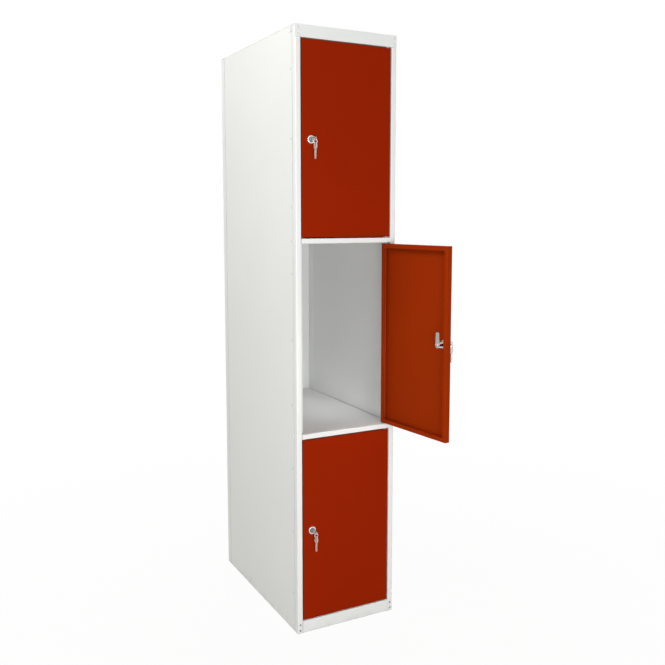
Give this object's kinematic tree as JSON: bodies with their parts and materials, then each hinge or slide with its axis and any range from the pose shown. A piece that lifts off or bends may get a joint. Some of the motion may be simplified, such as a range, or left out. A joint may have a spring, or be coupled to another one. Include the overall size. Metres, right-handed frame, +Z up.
{
  "type": "bicycle locker",
  "caption": "Tall narrow steel locker with stacked full-depth compartments for folded cycles, each closed by a right-hung hinged door with a cam lock, key and spare key on a ring.",
  "frame": {"origin": "middle of the kick rail's foot flange, at floor level; the front face is 12 mm in front of it", "axes": "+Z up, +X to the right seen from the front, +Y from the front to the back"},
  "size_m": [0.3825, 0.8781, 1.8],
  "materials": {
    "white_paint": "white polyester powder coat with a fine orange peel, low sheen",
    "red_paint": "red-brown polyester powder coat with a fine orange peel, low sheen",
    "chrome": "bright chrome-plated die-cast zinc",
    "zinc": "zinc-plated steel, satin",
    "key_nickel": "nickel-plated brass, satin, lightly rubbed",
    "nylon": "grey nylon, moulded"
  },
  "bodies": {
    "carcase": {"left_side_panel": "white_paint", "right_side_panel": "white_paint", "back_panel": "white_paint", "top_panel": "white_paint", "base_panel": "white_paint", "upper_shelf": "white_paint", "lower_shelf": "white_paint", "left_post": "white_paint", "right_post": "white_paint", "kick_rail": "white_paint", "upper_cross_rail": "white_paint", "lower_cross_rail": "white_paint", "upper_top_bush": "nylon", "upper_bottom_bush": "nylon", "middle_top_bush": "nylon", "middle_bottom_bush": "nylon", "lower_top_bush": "nylon", "lower_bottom_bush": "nylon", "top_panel_rivet_1": "zinc", "top_panel_rivet_2": "zinc", "top_panel_rivet_3": "zinc", "top_panel_rivet_4": "zinc", "kick_rail_rivet_1": "zinc", "kick_rail_rivet_2": "zinc", "kick_rail_rivet_3": "zinc", "kick_rail_rivet_4": "zinc"},
    "upper_door": {"upper_door": "red_paint", "upper_top_pin": "zinc", "upper_bottom_pin": "zinc", "upper_lock_housing": "chrome", "upper_lock_nut": "zinc"},
    "upper_plug": {"upper_lock_plug": "chrome", "upper_lock_cam": "zinc", "upper_cam_screw": "zinc"},
    "upper_key": {"upper_key": "key_nickel"},
    "upper_ring": {"upper_key_ring": "zinc"},
    "upper_spare": {"upper_spare_key": "key_nickel"},
    "middle_door": {"middle_door": "red_paint", "middle_top_pin": "zinc", "middle_bottom_pin": "zinc", "middle_lock_housing": "chrome", "middle_lock_nut": "zinc"},
    "middle_plug": {"middle_lock_plug": "chrome", "middle_lock_cam": "zinc", "middle_cam_screw": "zinc"},
    "middle_key": {"middle_key": "key_nickel"},
    "middle_ring": {"middle_key_ring": "zinc"},
    "middle_spare": {"middle_spare_key": "key_nickel"},
    "lower_door": {"lower_door": "red_paint", "lower_top_pin": "zinc", "lower_bottom_pin": "zinc", "lower_lock_housing": "chrome", "lower_lock_nut": "zinc"},
    "lower_plug": {"lower_lock_plug": "chrome", "lower_lock_cam": "zinc", "lower_cam_screw": "zinc"},
    "lower_key": {"lower_key": "key_nickel"},
    "lower_ring": {"lower_key_ring": "zinc"},
    "lower_spare": {"lower_spare_key": "key_nickel"}
  },
  "joints": [
    {"name": "upper_door_hinge", "type": "hinge", "parent": "carcase", "child": "upper_door", "pos_m": [0.1395, -0.004, 1.202], "axis": [0, 0, 1], "range_deg": [0, 110]},
    {"name": "upper_plug_turn", "type": "hinge", "parent": "upper_door", "child": "upper_plug", "pos_m": [-0.119, -0.012, 1.4815], "axis": [0, -1, 0], "range_deg": [0, 90]},
    {"name": "upper_key_slide", "type": "slide", "parent": "upper_plug", "child": "upper_key", "axis": [0, -1, 0], "range_m": [0, 0.03]},
    {"name": "upper_ring_swing", "type": "hinge", "parent": "upper_key", "child": "upper_ring", "pos_m": [-0.119, -0.0408, 1.48], "axis": [-1, 0, 0], "range_deg": [-8, 80]},
    {"name": "upper_spare_swing", "type": "hinge", "parent": "upper_ring", "child": "upper_spare", "pos_m": [-0.119, -0.0408, 1.469], "axis": [-1, 0, 0], "range_deg": [-8, 60]},
    {"name": "middle_door_hinge", "type": "hinge", "parent": "carcase", "child": "middle_door", "pos_m": [0.1395, -0.004, 0.6215], "axis": [0, 0, 1], "range_deg": [-97, 13]},
    {"name": "middle_plug_turn", "type": "hinge", "parent": "middle_door", "child": "middle_plug", "pos_m": [0.17894, -0.2596, 0.901], "axis": [0.9925, 0.1219, 0], "range_deg": [0, 90]},
    {"name": "middle_key_slide", "type": "slide", "parent": "middle_plug", "child": "middle_key", "axis": [0.9925, 0.1219, 0], "range_m": [0, 0.03]},
    {"name": "middle_ring_swing", "type": "hinge", "parent": "middle_key", "child": "middle_ring", "pos_m": [0.20753, -0.25609, 0.8995], "axis": [0.1219, -0.9925, 0], "range_deg": [-8, 80]},
    {"name": "middle_spare_swing", "type": "hinge", "parent": "middle_ring", "child": "middle_spare", "pos_m": [0.20753, -0.25609, 0.8885], "axis": [0.1219, -0.9925, 0], "range_deg": [-8, 60]},
    {"name": "lower_door_hinge", "type": "hinge", "parent": "carcase", "child": "lower_door", "pos_m": [0.1395, -0.004, 0.041], "axis": [0, 0, 1], "range_deg": [0, 110]},
    {"name": "lower_plug_turn", "type": "hinge", "parent": "lower_door", "child": "lower_plug", "pos_m": [-0.119, -0.012, 0.3205], "axis": [0, -1, 0], "range_deg": [0, 90]},
    {"name": "lower_key_slide", "type": "slide", "parent": "lower_plug", "child": "lower_key", "axis": [0, -1, 0], "range_m": [0, 0.03]},
    {"name": "lower_ring_swing", "type": "hinge", "parent": "lower_key", "child": "lower_ring", "pos_m": [-0.119, -0.0408, 0.319], "axis": [-1, 0, 0], "range_deg": [-8, 80]},
    {"name": "lower_spare_swing", "type": "hinge", "parent": "lower_ring", "child": "lower_spare", "pos_m": [-0.119, -0.0408, 0.308], "axis": [-1, 0, 0], "range_deg": [-8, 60]}
  ]
}
